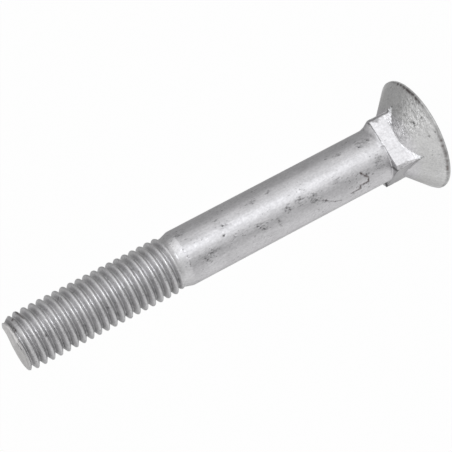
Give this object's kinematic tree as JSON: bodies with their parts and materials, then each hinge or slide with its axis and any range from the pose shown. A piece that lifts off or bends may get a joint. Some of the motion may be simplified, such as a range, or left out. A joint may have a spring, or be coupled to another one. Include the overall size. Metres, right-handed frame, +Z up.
{
  "type": "plow bolt",
  "caption": "Flat countersunk square-neck bolt with a plain shank and a coarse right-hand thread, hot-dip galvanised.",
  "frame": {"origin": "centre of the head's flat face, on which the bolt stands", "axes": "+Z up the bolt's axis to the threaded end; the square neck's flats face along X and Y"},
  "size_m": [0.0248, 0.0246, 0.095],
  "materials": {
    "galvanised_steel": "hot-dip zinc coat, dull satin grey with small pits and specks"
  },
  "bodies": {
    "root": {"plow_bolt": "galvanised_steel"}
  },
  "joints": []
}
